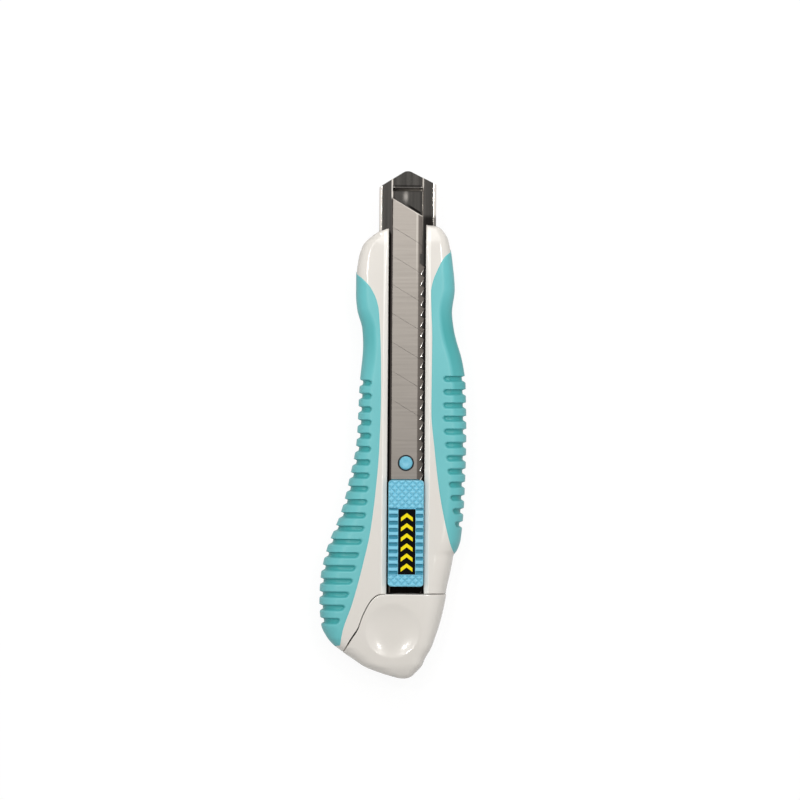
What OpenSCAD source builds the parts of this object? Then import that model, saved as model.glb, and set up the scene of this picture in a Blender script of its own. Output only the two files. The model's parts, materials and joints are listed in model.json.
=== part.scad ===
// Snap-off utility knife with a segmented 18 mm blade, in millimetres.
// +Y runs along the blade towards its point, +Z leaves the thumb side, and the back lies on Z = 0.
// The origin is on the back face, under the blade's centre line, midway along the knife.

/* [Blade] */
// Width of the blade
blade_w = 18; // [17:0.5:18]
// Length of the blade from its point to its square end
blade_l = 100; // [98:1:102]
// Thickness of the blade
blade_t = 0.5; // [0.4:0.05:0.5]
// Distance between two score lines
segment_l = 10; // [8:0.5:10]
// Slant of the point and of the score lines from square
segment_angle = 31; // [25:1:32]

/* [Steel sleeve] */
// Sheet thickness of the sleeve
sheet_t = 0.7; // [0.6:0.05:0.8]
// Outer height of the sleeve
sleeve_h = 4; // [3.9:0.05:4.1]
// Half width of the open front between the lips
lip_gap = 5.1; // [4.9:0.1:5.3]
// Distance between two ratchet notches
ratchet_pitch = 3.6; // [3.2:0.1:4]
// Depth of a ratchet notch
ratchet_depth = 1.6; // [1.2:0.1:1.7]
// Slope of the sleeve's roof-shaped front end on the palm side, in degrees
roof_palm = 32; // [29:1:36]
// Slope of the roof on the finger side, in degrees
roof_finger = 27; // [24:1:32]

/* [Handle] */
// Reach of the palm swell to the left of the blade's centre line
palm_reach = 29.6; // [28:0.2:31]
// Reach of the finger side to the right of the centre line
finger_reach = 20.8; // [20:0.2:22]
// Height of the front face above the back
body_h = 19; // [18.6:0.1:19.6]
// Height of the parting plane between the two casings
part_z = 9.8; // [9.4:0.1:10]
// Wall of the casings and the cap
wall = 2; // [1.8:0.1:2.4]
// Width of the slider's slot in the front casing
slot_w = 13; // [12.9:0.1:13.4]
// Width of the chamfer along the slot
slot_chamfer = 1.5; // [1:0.1:1.6]

/* [Soft grips] */
// Thickness of the soft skin
grip_t = 2.2; // [1.8:0.1:2.4]
// How far the skin stands proud of the casing
grip_proud = 0.3; // [0.1:0.1:0.4]
// Distance between two ribs
rib_pitch = 4.6; // [4.3:0.1:4.7]
// Depth of the grooves between the ribs
groove_depth = 1.1; // [0.8:0.1:1.5]
// Length of the plain crest of a rib along the handle
crest_l = 2.3; // [2:0.1:2.6]

/* [Thumb slider] */
// Width of the thumb slider
slider_w = 12.5; // [12:0.1:12.6]
// Length of the thumb slider
slider_l = 37; // [36:0.2:37]
// Height of the thumb slider's face above the front casing
slider_rise = 1.5; // [1:0.1:2]
// Free play of the thumb slider on its carrier, each way
play = 0.8; // [0.4:0.1:0.8]

/* [End cap] */
// Radius of the thumb dish in the cap
dish_r = 9.5; // [8.5:0.5:10]
// Depth of the thumb dish
dish_depth = 1.3; // [0.8:0.1:1.4]
// Length of the cap's tongue inside the casing
tongue_l = 13; // [10:1:15]

/* [Hidden] */

fine = 96;
far = 200;
eps = 0.01;
gap = 0.12;

// Levels from the back upwards.
sleeve_z = 11.6;
sleeve_top = sleeve_z + sleeve_h;
channel_z = sleeve_z + sheet_t;
lip_z = sleeve_top - sheet_t;
blade_z = lip_z - 0.1 - blade_t;
slider_top = body_h + slider_rise;

// Stations along the knife.
nose_y = 68.1;
slot_end = -58.7;
sleeve_tip = 88.2;
sleeve_half = blade_w / 2 + 0.2 + sheet_t;
pocket_half = sleeve_half + 0.15;
stud_y = -13.4;
blade_end = stud_y - 5.6;
slider_front = -19.3;
slider_rear = slider_front - slider_l;

// Outline of the handle seen from the front: [station, distance from the centre line].
left_edge = [[-88.6, 1.2], [-87.9, 3.8], [-86.8, 7.5], [-84.6, 13.4], [-82, 17.4], [-79.5, 21.2],
    [-77.5, 23.9], [-74.5, 26.7], [-70, palm_reach - 0.7], [-61, palm_reach], [-54, palm_reach - 0.3],
    [-44.5, 27.4], [-30, 22.1], [-19.4, 19.5], [-5.5, 17], [14, 16.1], [27.6, 15], [33, 15.3],
    [39.8, 17.1], [45, 17.6], [52, 17.6], [58, 16.9], [62, 15.6], [64.2, 14.1], [66.3, 11.7],
    [69.6, 10.6]];
right_edge = [[-88.6, 0.5], [-87.9, 2.1], [-85.8, 4.3], [-84, 5.9], [-81.6, 6.9], [-77.5, 9.2],
    [-74.2, 10.4], [-70, 11.8], [-65, 13.1], [-61, 13.9], [-57, 14.5], [-53, 15.4], [-48, 16.4],
    [-45.3, 16.9], [-43.5, 18], [-40, 19.1], [-25.5, finger_reach - 0.5], [-5, finger_reach],
    [14, finger_reach - 0.4], [20.5, 19.5], [24, 18.7], [29.2, 17.1], [33.6, 16.1], [39.2, 15.5],
    [47, 16.4], [56, 15.6], [64.3, 14.2], [66.4, 13.1], [69.6, 10.5]];
// Height of the front and of the back face.
front_face = [[-88.6, 13.4], [-87, 15.4], [-83, 17.3], [-72, body_h - 0.3], [-59, body_h],
    [10, body_h], [50, body_h - 0.6], [62, body_h - 1.2], [67, body_h - 2], [69.6, body_h - 2.8]];
back_face = [[-88.6, 5.4], [-87, 3.2], [-83, 1.2], [-74, 0], [48, 0], [55, 0.6], [63, 1.8],
    [67, 2.8], [69.6, 3.8]];
// Radius of the long edges.
edge_round = [[-88.6, 1], [-85, 3.2], [-78, 4.4], [-66, 6.4], [-40, 6.6], [0, 4.8], [45, 4.4],
    [62, 3.4], [69.6, 1.2]];
// Flanks beside the slot are hollowed: [station, how steeply the edge starts in degrees].
palm_hollow = [[14, 0], [24, 19], [31, 34], [40, 0]];
finger_hollow = [[-3, 0], [18, 36], [31, 46], [47, 0]];
// Inner edge of the soft grips, where each grip ends, [first rib, number of grooves] and how far the
// grooves stay away from the inner edge.
palm_edge = [[-77.9, 22.6], [-72.3, 21.7], [-62.2, 18.3], [-49, 14.8], [-36.8, 12.2], [-22.9, 10.5],
    [-9, 9.4], [8.5, 8.9], [22.4, 9], [39.1, 9.8], [42.6, 10.5], [47.4, 12.7], [50, 15], [52.4, 17.9]];
palm_ends = [-78, 53.2];
palm_ribs = [-72.1, 19];
palm_margin = [[-78, 2], [-40, 2.2], [16, 3.2], [54, 3.2]];
finger_edge = [[-45, 17.2], [-41.8, 15.8], [-32.5, 13.5], [-22.7, 11.7], [-9.5, 10.1], [5, 8.8],
    [29.5, 8.9], [46.2, 8.4], [50, 9.1], [53.1, 10.3], [58, 12.8], [60.4, 15.4]];
finger_ends = [-45.3, 61.2];
finger_ribs = [-38.2, 12];
finger_margin = [[-46, 3.1], [-20, 3.6], [16, 4.1], [62, 4.1]];
// Seam between casing and cap on the palm side: [distance to the left, station], from the outside in.
seam = [[-24, -83.2], [-18.2, -73.7], [-16.4, -71], [-14.4, -65.7], [-11.3, -60.6], [-9.2, -59.2],
    [-6.8, -58.9]];

// Value of a smooth curve through knots [position, value] that never overshoots them.
function span(k, p, i = 0) = i >= len(k) - 2 || p <= k[i + 1][0] ? i : span(k, p, i + 1);
function secant(k, i) = (k[i + 1][1] - k[i][1]) / (k[i + 1][0] - k[i][0]);
function slope(k, i) =
    i == 0 || i == len(k) - 1 ? secant(k, min(i, len(k) - 2))
    : let (a = secant(k, i - 1), b = secant(k, i)) a * b <= 0 ? 0 : 2 * a * b / (a + b);
function curve(k, p) =
    let (i = span(k, p), h = k[i + 1][0] - k[i][0], t = (p - k[i][0]) / h)
    k[i][1] * (2 * t ^ 3 - 3 * t ^ 2 + 1) + k[i + 1][1] * (3 * t ^ 2 - 2 * t ^ 3)
    + h * (slope(k, i) * (t ^ 3 - 2 * t ^ 2 + t) + slope(k, i + 1) * (t ^ 3 - t ^ 2));
function mix(a, b, t) = a + (b - a) * t;

// A point on the handle's skin. side is -1 on the palm and 1 on the finger side, face is 1 on the
// front and -1 on the back, and d is its depth under the skin. u runs from 0 on the centre line to
// 1 at the end of the flat face, 2 at the end of the rounded edge and 3 at the parting plane.
function reach(side, y) = curve(side < 0 ? left_edge : right_edge, y);
function edge_w(side, y) =
    let (lean = (reach(side, y + 0.2) - reach(side, y - 0.2)) / 0.4)
    min(curve(edge_round, y) * sqrt(1 + lean ^ 2), 0.7 * reach(side, y));
function hollow(side, face, y) =
    let (k = side < 0 ? palm_hollow : finger_hollow)
    curve(k, max(k[0][0], min(k[3][0], y))) * (face > 0 ? 1 : 0.6);
// Nothing goes below the back that the knife lies on.
function skin_point(side, face, y, u, d) =
    let (a = reach(side, y), rx = edge_w(side, y), z = curve(face > 0 ? front_face : back_face, y),
        rz = min(1.1 * curve(edge_round, y), abs(z - part_z) - 0.8),
        start = hollow(side, face, y), turn = mix(start, 90, u - 1))
    u <= 1 ? [side * (a - rx) * u, y, max(0, z - face * d)]
    : u <= 2 ? [side * (a - rx + (rx - d) * (sin(turn) - sin(start)) / (1 - sin(start))), y,
        max(0, z - face * (rz - (rz - d) * cos(turn) / cos(start)))]
    : [side * (a - d), y, mix(z - face * rz, part_z, u - 2)];
// Position u of a point that lies x from the centre line.
function skin_u(side, face, y, x) =
    let (rx = edge_w(side, y), flat = reach(side, y) - rx, start = hollow(side, face, y),
        rise = mix(sin(start), 1, min(1, (x - flat) / rx)))
    x <= flat ? x / flat : 1 + (asin(rise) - start) / (90 - start);

// Inner edge of a grip as a position u, and its fade to a thin lip at both of its ends.
tip_u = 2.75;
function inside(side, y) = let (ends = side < 0 ? palm_ends : finger_ends) y > ends[0] && y < ends[1];
function grip_u(side, face, y) =
    let (ends = side < 0 ? palm_ends : finger_ends, edge = side < 0 ? palm_edge : finger_edge,
        near = min(ends[1] - y, y - ends[0]))
    !inside(side, y) ? tip_u : min(tip_u, max(skin_u(side, face, y, curve(edge, y)), tip_u - near / 1.7));
function fade(side, face, y) = max(0.1, min(1, (tip_u - grip_u(side, face, y)) / 0.5));

// Rings of the handle's skin at one station.
function face_us(ug) = concat([0], [for (j = [0 : 5]) mix(min(1, ug - 0.12), ug, j / 5)]);
function under_us(ug) = [for (j = [0 : 3]) mix(ug, 3, j / 3)];
function half_ring(side, face, y) =
    let (ug = grip_u(side, face, y) - 0.03,
        sunk = inside(side, y) ? gap + grip_t * fade(side, face, y) : 0.03)
    concat([for (u = face_us(ug)) skin_point(side, face, y, u, 0)],
        [for (u = under_us(ug)) skin_point(side, face, y, u, sunk)]);
function casing_ring(face, y) =
    let (ahead = half_ring(face, face, y), behind = half_ring(-face, face, y))
    concat([for (i = [len(behind) - 1 : -1 : 1]) behind[i]], ahead);
function plain_us() = [0, 1, 1.17, 1.34, 1.5, 1.67, 1.84, 2, 2.5, 3];
function cap_ring(y, d) =
    let (us = plain_us(), n = len(us) - 1)
    concat([for (i = [0 : n]) skin_point(1, 1, y, us[i], d)],
        [for (i = [n - 1 : -1 : 0]) skin_point(1, -1, y, us[i], d)],
        [for (i = [1 : n]) skin_point(-1, -1, y, us[i], d)],
        [for (i = [n - 1 : -1 : 1]) skin_point(-1, 1, y, us[i], d)]);
function grip_ring(side, face, y, sunk) =
    let (ug = grip_u(side, face, y), edge = curve(side < 0 ? palm_edge : finger_edge, y),
        margin = curve(side < 0 ? palm_margin : finger_margin, y), thin = fade(side, face, y),
        ur = min(2.9, max(ug + 0.1, skin_u(side, face, y, edge + margin))), knee = max(1, ur + 0.03),
        outer = concat([ug, mix(ug, ur, 0.9), ur], [for (t = [0, 0.16, 0.34, 0.6, 1]) mix(knee, 3, t)]),
        inner = [for (j = [3 : -1 : 0]) mix(ug, 3, j / 3)])
    concat([for (j = [0 : 7]) skin_point(side, face, y, outer[j], (j > 1 ? sunk : 0) - grip_proud * thin)],
        [for (u = inner) skin_point(side, face, y, u, grip_t * thin)]);

// A closed solid through rings that all have the same number of points. Each end fans out from its centre.
module loft(rings) {
    n = len(rings[0]);
    m = len(rings);
    ones = [for (j = [1 : n]) 1];
    polyhedron(
        points = concat([for (r = rings) for (p = r) p], [ones * rings[0] / n, ones * rings[m - 1] / n]),
        faces = concat(
            [for (j = [0 : n - 1]) [m * n, j, (j + 1) % n]],
            [for (j = [0 : n - 1]) [m * n + 1, (m - 1) * n + (j + 1) % n, (m - 1) * n + j]],
            [for (i = [0 : m - 2]) for (j = [0 : n - 1])
                [i * n + j, (i + 1) * n + j, i * n + (j + 1) % n]],
            [for (i = [0 : m - 2]) for (j = [0 : n - 1])
                [i * n + (j + 1) % n, (i + 1) * n + j, (i + 1) * n + (j + 1) % n]]));
}

// Extrudes a plan drawn in X and Y between two heights.
module plate(z0, z1) {
    translate([0, 0, z0]) linear_extrude(z1 - z0) children();
}
// Extrudes a section drawn in X and Z between two stations.
module bar(y0, y1) {
    translate([0, y1, 0]) rotate([90, 0, 0]) linear_extrude(y1 - y0) children();
}
module block(x, y, z) {
    translate([x[0], y[0], z[0]]) cube([x[1] - x[0], y[1] - y[0], z[1] - z[0]]);
}
module pin(x, y, r, z0, z1) {
    translate([x, y, z0]) cylinder(r = r, h = z1 - z0, $fn = fine);
}
module rounded(x, y, r) {
    square_x = [x[0] + r, x[1] - r];
    square_y = [y[0] + r, y[1] - r];
    translate([x[0], square_y[0]]) square([x[1] - x[0], square_y[1] - square_y[0]]);
    translate([square_x[0], y[0]]) square([square_x[1] - square_x[0], y[1] - y[0]]);
    for (cx = square_x) for (cy = square_y) translate([cx, cy]) circle(r, $fn = fine);
}

// Plan of the casing above the seam, and of the cap below it.
seam_steps = [for (x = [seam[0][0] : 0.95 : seam[6][0]]) x];
// The nose leans, rises towards the slot and falls back round the shoulders.
function nose_line(x) = nose_y + 0.1 * x + 0.3 * min(2.6, max(0, 9 - abs(x))) - 0.09 * max(0, abs(x) - 9) ^ 2;
module casing_plan() {
    polygon(concat([for (x = seam_steps) [x, curve(seam, x)]], [[30, slot_end - 0.1]],
        [for (x = [30, 14, 12.5, 11, 10, 9, 6.4, -6.4, -9, -10, -11, -12.5, -14, -30])
            [x, abs(x) > 20 ? 50 : nose_line(x)]], [[-40, -83.2]]));
}
// The seam opens from a hairline at the slot to a clear gap at the palm.
function seam_gap(x) = 0.2 + 0.6 * min(1, max(0, (-x - 9) / 8));
module cap_plan() {
    polygon(concat([for (x = seam_steps) [x, curve(seam, x) - seam_gap(x)]],
        [[30, slot_end - 0.3], [30, -far], [-24, -far]]));
}

// Screws sit in the white of the back, clear of the sleeve: [across, station].
screw_places = [[-12.9, 57.5], [12.2, 61.6], [-12.7, -54], [12.4, -51.5]];
screw_head_r = 1.8;
screw_r = 0.95;
screw_seat = 5.2;
screw_tip = 15.2;

casing_stations = concat([for (y = [-79.8 : 1.1 : -73.2]) y], [for (y = [-71 : 5.4 : -48.5]) y],
    [for (y = [-46.5 : 1.1 : -41]) y], [for (y = [-37 : 6 : -7]) y], [for (y = [-3 : 3.9 : 44]) y],
    [for (y = [45.6 : 1.25 : 61.9]) y], [for (y = [63.1 : 1.3 : 69.6]) y]);
// The tongue of the cap enters a socket behind a bulkhead, and the shell is cored out ahead of it.
socket_half = 9.6;
socket_y = [-70, slot_end + tongue_l + 0.4];
core_y = [socket_y[1] + wall, 55];

module front_casing() {
    pocket_z = [sleeve_z - 0.1, sleeve_top + 0.1];
    half = slot_w / 2;
    top = body_h + 1;
    color([0.88, 0.87, 0.84]) difference() {
        intersection() {
            loft([for (y = casing_stations) casing_ring(1, y)]);
            plate(part_z - 1, body_h + 1) casing_plan();
        }
        block([-pocket_half, pocket_half], [-70, 80], pocket_z);
        // Slot for the thumb slider, with a chamfer that follows the level of the face.
        bar(-70, 80) polygon([[-half, pocket_z[0]], [half, pocket_z[0]],
            [half, body_h - slot_chamfer - 0.1], [half + slot_chamfer + 1.1, top],
            [-half - slot_chamfer - 1.1, top], [-half, body_h - slot_chamfer - 0.1]]);
        // The palm swell is cored out from the parting plane.
        plate(part_z - 1, 15.5) polygon([[-12.4, -44], [-12.4, -24], [-14.4, -24], [-20.6, -44]]);
        for (p = screw_places) pin(p[0], p[1], screw_r + 0.05, part_z - 1, screw_tip + 0.6);
    }
    // A peg on the pocket's floor holds the sleeve.
    color([0.88, 0.87, 0.84]) pin(0, -49, 1.9, sleeve_z - 0.1, channel_z - 0.1);
}

module rear_casing() {
    color([0.88, 0.87, 0.84]) difference() {
        intersection() {
            loft([for (y = casing_stations) casing_ring(-1, y)]);
            plate(-1, part_z + 1) casing_plan();
        }
        for (y = [socket_y, core_y]) block([-socket_half, socket_half], y, [wall + 0.3, part_z + 1]);
        plate(3.4, part_z + 1) polygon([[-11.6, -46], [-11.6, -24], [-14.4, -24], [-20.8, -46]]);
        for (p = screw_places) {
            pin(p[0], p[1], screw_r + 0.35, -1, part_z + 1);
            pin(p[0], p[1], screw_head_r + 0.15, -1, screw_seat);
        }
        // Snap grooves for the cap's tongue.
        for (s = [-1, 1]) pin(s * socket_half, slot_end + tongue_l - 3, 0.7, wall + 1, part_z - 1.3);
    }
}

// Stations of a grip: four to every rib, so that the grooves have steep walls, and plain ones else.
ramp = 0.35;
function rib_stations(ribs) = [for (i = [0 : ribs[1] - 1]) let (y = ribs[0] + i * rib_pitch)
    each [[y, 0], [y + crest_l, 0], [y + crest_l + ramp, groove_depth],
        [y + rib_pitch - ramp, groove_depth]]];
function grip_stations(ends, ribs) = concat(
    [for (y = [ends[0] + 0.4 : 1.1 : ribs[0] - 0.4]) [y, 0]], rib_stations(ribs),
    [for (y = [ribs[0] + ribs[1] * rib_pitch : 3 : ends[1] - 12]) [y, 0]],
    [for (y = [ends[1] - 10.4 : 1.25 : ends[1] - 0.4]) [y, 0]]);

module grip(side, face) {
    ends = side < 0 ? palm_ends : finger_ends;
    ribs = side < 0 ? palm_ribs : finger_ribs;
    rings = [for (s = grip_stations(ends, ribs)) grip_ring(side, face, s[0], s[1])];
    color([0.31, 0.7, 0.71])
        loft(side * face > 0 ? rings : [for (r = rings) [for (i = [len(r) - 1 : -1 : 0]) r[i]]]);
}

module casing_screws() {
    color([0.6, 0.6, 0.62]) for (p = screw_places) difference() {
        union() {
            pin(p[0], p[1], screw_r, screw_seat - 1, screw_tip);
            pin(p[0], p[1], screw_head_r, screw_seat - 1.6, screw_seat);
        }
        for (turn = [0, 90]) translate([p[0], p[1], screw_seat - 1.6]) rotate(turn)
            cube([2.2, 0.6, 1.6], center = true);
    }
}

module end_cap() {
    side_z = [wall + 0.45, part_z - 0.15];
    tongue_half = socket_half - 0.35;
    tongue_end = slot_end + tongue_l;
    cap_stations = concat([for (y = [-88.5, -88.1, -87.5]) y], [for (y = [-86.5 : 1.5 : -80.5]) y],
        [for (y = [-79 : 3.2 : -56]) y]);
    hollow_stations = [-85.4, -83.5, -81, -78, -74, -69, -64, -60, -56];
    dish_sphere = (dish_r ^ 2 + dish_depth ^ 2) / (2 * dish_depth);
    color([0.87, 0.86, 0.83]) difference() {
        intersection() {
            loft([for (y = cap_stations) cap_ring(y, -0.2)]);
            plate(0, body_h + 1) cap_plan();
        }
        loft([for (y = hollow_stations) cap_ring(y, wall)]);
        for (face = [0, 1]) translate([-4.2, -71.8, face ? body_h - 0.2 - dish_depth + dish_sphere
            : dish_depth - dish_sphere]) sphere(dish_sphere, $fn = fine);
    }
    // The tongue is a flat tube with a foot on the cap's back wall and a snap bead on each side.
    color([0.87, 0.86, 0.83]) difference() {
        union() {
            block([-tongue_half, tongue_half], [-72, tongue_end], side_z);
            block([-5, 5], [-72, slot_end - 1], [wall - 0.6, side_z[1]]);
            for (s = [-1, 1]) pin(s * (tongue_half - 0.25), tongue_end - 3, 0.5, wall + 1.4, part_z - 1.7);
        }
        block([-tongue_half + 1.4, tongue_half - 1.4], [-far, far], [side_z[0] + 1.2, side_z[1] - 1.2]);
    }
}

// Section of the sleeve: a folded channel whose lips leave the front open.
bend_r = 1.1;
tooth_tip = 4.5;
ratchet_y = [-57.4, 59.4];
spring_y = -38.8;
// A notch of the ratchet lies at spring_y, where the lock spring rests.
notch_rise = 2.3;
first_tooth = spring_y - notch_rise - 5 * ratchet_pitch;
teeth = floor((ratchet_y[1] - first_tooth) / ratchet_pitch);

// Plan of the sleeve: the two slopes of the roof run into a round peak.
module sleeve_plan() {
    tip_r = 3;
    tip_y = sleeve_tip - tip_r;
    function eave(a) = tip_y + tip_r / cos(a) - 20 * tan(a);
    translate([0, tip_y]) circle(tip_r, $fn = fine);
    polygon([[-20, slot_end], [20, slot_end], [20, eave(roof_finger)],
        [tip_r * sin(roof_finger), tip_y + tip_r * cos(roof_finger)],
        [-tip_r * sin(roof_palm), tip_y + tip_r * cos(roof_palm)], [-20, eave(roof_palm)]]);
}

module blade_sleeve() {
    inner = sleeve_half - sheet_t;
    anvil_y = 82.9;
    anvil_z = blade_z - 0.2;
    color([0.32, 0.31, 0.3]) intersection() {
        difference() {
            union() {
                bar(slot_end, sleeve_tip) difference() {
                    rounded([-sleeve_half, sleeve_half], [sleeve_z, sleeve_top], bend_r);
                    rounded([-inner, inner], [channel_z, lip_z], bend_r - sheet_t);
                }
                // The floor's front end steps up to carry the blade.
                translate([-inner - eps, 0, 0]) rotate([90, 0, 90]) linear_extrude(2 * (inner + eps))
                    polygon([[anvil_y - 1.6, sleeve_z], [anvil_y - 1.6, channel_z],
                        [anvil_y - 0.6, anvil_z - 0.2], [anvil_y - 0.2, anvil_z], [90, anvil_z],
                        [90, anvil_z - sheet_t], [anvil_y + 0.2, anvil_z - sheet_t],
                        [anvil_y - 0.9, sleeve_z]]);
            }
            block([-lip_gap, tooth_tip], [-far, far], [lip_z - 0.2, far]);
            block([0, lip_gap], [ratchet_y[1], far], [lip_z - 0.2, far]);
            // The ratchet's saw teeth in the right lip.
            plate(lip_z - 0.2, far) polygon(concat([[tooth_tip - 1, first_tooth]],
                [for (i = [0 : teeth - 1]) each [[tooth_tip, first_tooth + i * ratchet_pitch],
                    [tooth_tip + ratchet_depth, first_tooth + i * ratchet_pitch + notch_rise]]],
                [[tooth_tip, first_tooth + teeth * ratchet_pitch],
                    [tooth_tip - 1, first_tooth + teeth * ratchet_pitch]]));
            block([-8, 8], [anvil_y - 0.7, far], [sleeve_z - 1, channel_z + 0.3]);
            pin(0, -49, 2, sleeve_z - 1, channel_z + 1);
        }
        plate(sleeve_z - 1, sleeve_top + 1) sleeve_plan();
    }
}

module blade() {
    half = blade_w / 2;
    tip = blade_end + blade_l;
    drop = blade_w * tan(segment_angle);
    bevel_w = 1.5;
    score_t = 0.12;
    score_w = 0.35;
    color([0.72, 0.7, 0.68]) difference() {
        plate(blade_z, blade_z + blade_t) polygon([[-half, blade_end], [half, blade_end],
            [half, tip - drop], [-half, tip]]);
        pin(0, stud_y, 2.85, 0, far);
        // The cutting edge is ground from both faces.
        for (s = [0, 1]) translate([0, 0, blade_z + blade_t / 2]) mirror([0, 0, s])
            bar(-far, far) polygon([[-half - 1, 0.02], [-half, 0.02], [-half + bevel_w, blade_t / 2],
                [-half + bevel_w, 1], [-half - 1, 1]]);
        for (i = [1 : 7]) translate([-half, tip - i * segment_l, blade_z + blade_t])
            rotate(-segment_angle) rotate([0, 90, 0]) translate([0, 0, -2])
                linear_extrude(2 * blade_w) polygon([[-1, -score_w], [score_t, 0], [-1, score_w]]);
    }
}

// The carrier runs in the sleeve, holds the blade on its stud and rises between the lips as a neck.
neck_x = [-4.7, 3.2];
neck_y = [slider_rear + 2.6, slider_front - 2.6];
neck_top = slider_top - 2.4;
hook_z = [sleeve_top + 0.9, sleeve_top + 1.7];
hooks = [[neck_y[0] + 2, neck_y[0] + 8], [neck_y[1] - 8, neck_y[1] - 2]];

module blade_carrier() {
    run = blade_w / 2 - 0.05;
    color([0.43, 0.73, 0.82]) difference() {
        union() {
            plate(channel_z + 0.1, blade_z) rounded([-7.6, 7.6], [blade_end - 4, stud_y + 5.2], 3);
            block([-run, run], [slider_rear + 0.4, blade_end - 0.2], [channel_z + 0.1, lip_z - 0.12]);
            block(neck_x, neck_y, [lip_z - 0.2, neck_top]);
            pin(0, stud_y, 2.3, blade_z - 0.5, sleeve_top - 0.2);
            translate([0, stud_y, sleeve_top - 0.2]) cylinder(r1 = 2.3, r2 = 1.9, h = 0.3, $fn = fine);
        }
        // Grooves that the thumb slider's hooks clip into.
        for (x = [[neck_x[0] - 1, neck_x[0] + 0.55], [neck_x[1] - 0.55, neck_x[1] + 1]])
            for (h = hooks)
                block(x, [h[0] - play - 0.2, h[1] + play + 0.2], [hook_z[0] - 0.15, hook_z[1] + 0.15]);
        // Seat of the lock spring in the neck's flank.
        block([neck_x[1] - 0.5, 9], [spring_y - 7, spring_y + 7], [lip_z - 0.12, far]);
        // A shallow dimple in the stud's face.
        translate([0, stud_y, sleeve_top + 3.9]) sphere(4, $fn = fine);
    }
}

// A strip of spring steel on the neck's flank, bowed out into a ratchet notch.
module lock_spring() {
    leaf_t = 0.3;
    back = neck_x[1] - 0.48;
    color([0.7, 0.7, 0.7]) plate(lip_z - 0.1, sleeve_top + 0.05) polygon([
        [back, spring_y - 6.6], [back + leaf_t, spring_y - 6.6], [back + leaf_t + 0.1, spring_y - 2.6],
        [tooth_tip + ratchet_depth - 0.35, spring_y], [back + leaf_t + 0.1, spring_y + 1.7],
        [back + leaf_t, spring_y + 6.6], [back, spring_y + 6.6], [back + 0.1, spring_y + 1.5],
        [tooth_tip + ratchet_depth - 0.85, spring_y - 0.05], [back + 0.1, spring_y - 2.3]]);
}

inlay_x = [-2.5, 3.5];
inlay_y = [-52.1, -29.3];
rib_count = 9;

module thumb_slider() {
    half = slider_w / 2;
    base = sleeve_top + 0.15;
    cavity_x = [neck_x[0] - 0.15, 4.75];
    pitch = (inlay_y[1] - inlay_y[0]) / (rib_count + 0.2);
    color([0.43, 0.73, 0.82]) difference() {
        plate(base, slider_top) rounded([-half, half], [slider_rear, slider_front], 1.4);
        block(cavity_x, [neck_y[0] - play - 0.15, neck_y[1] + play + 0.15], [base - 1, neck_top + 0.15]);
        block(inlay_x, inlay_y, [slider_top - 0.55, far]);
        // Grooves beside the inlay leave cross ribs for the thumb.
        for (i = [0 : rib_count]) for (x = [[-half - 1, inlay_x[0] - 0.55], [inlay_x[1] + 0.55, half + 1]])
            translate([x[0], inlay_y[0] + 0.6 + i * pitch, slider_top + 0.35]) rotate([0, 90, 0])
                cylinder(r = 0.95, h = x[1] - x[0], $fn = 48);
    }
    // Hooks that clip the slider on the neck with room to float.
    color([0.43, 0.73, 0.82]) for (h = hooks) {
        block([cavity_x[0] - 0.2, neck_x[0] + 0.4], h, hook_z);
        block([neck_x[1] - 0.4, cavity_x[1] + 0.2], h, hook_z);
    }
}

module slider_inlay() {
    color([0.1, 0.12, 0.12]) plate(slider_top - 0.55, slider_top - 0.05)
        rounded([inlay_x[0] + 0.06, inlay_x[1] - 0.06], [inlay_y[0] + 0.06, inlay_y[1] - 0.06], 0.3);
}

front_casing();
rear_casing();
grip(-1, 1);  // palm_grip_front
grip(-1, -1);  // palm_grip_rear
grip(1, 1);  // finger_grip_front
grip(1, -1);  // finger_grip_rear
casing_screws();
end_cap();
blade_sleeve();
blade();
blade_carrier();
lock_spring();
thumb_slider();
slider_inlay();
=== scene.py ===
import json
from math import pi, radians

import bpy
import numpy as np
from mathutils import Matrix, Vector


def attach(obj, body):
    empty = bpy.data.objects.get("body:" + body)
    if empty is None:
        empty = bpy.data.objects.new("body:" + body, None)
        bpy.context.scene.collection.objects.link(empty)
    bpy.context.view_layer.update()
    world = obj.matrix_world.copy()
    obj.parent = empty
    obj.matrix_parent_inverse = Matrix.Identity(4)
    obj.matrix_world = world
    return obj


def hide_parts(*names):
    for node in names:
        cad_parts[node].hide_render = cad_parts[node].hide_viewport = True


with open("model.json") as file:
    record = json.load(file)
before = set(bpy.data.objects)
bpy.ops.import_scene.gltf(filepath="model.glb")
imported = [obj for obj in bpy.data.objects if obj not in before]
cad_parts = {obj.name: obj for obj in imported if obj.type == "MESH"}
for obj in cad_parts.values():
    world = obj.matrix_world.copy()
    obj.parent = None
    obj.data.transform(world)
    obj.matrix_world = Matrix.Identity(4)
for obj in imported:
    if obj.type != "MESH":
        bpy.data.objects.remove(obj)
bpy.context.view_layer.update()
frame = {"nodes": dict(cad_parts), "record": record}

nodes = frame["nodes"]
scene = bpy.context.scene
mm = 0.001

stage = {
    "lensDistance": 2.0,  # metres from the lens to the plane that fills the picture
    "planeHeight": 0.015,
    "widthSeen": 0.2784,  # metres across the picture in that plane
    "aim": (-0.0022, 0.0085),
    "roll": 0.42,  # degrees
    "sensor": 36,
    "farthest": 20,
    "floorSize": 6.0,
    "floorZ": -0.00005,
    "floorTone": (0.82, 0.82, 0.82, 1),
    "floorGlow": 1.06,
    "shadowShare": 0.14,  # how much of the floor's own shade shows
}


def deselectAll():
    bpy.ops.object.select_all(action="DESELECT")


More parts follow.
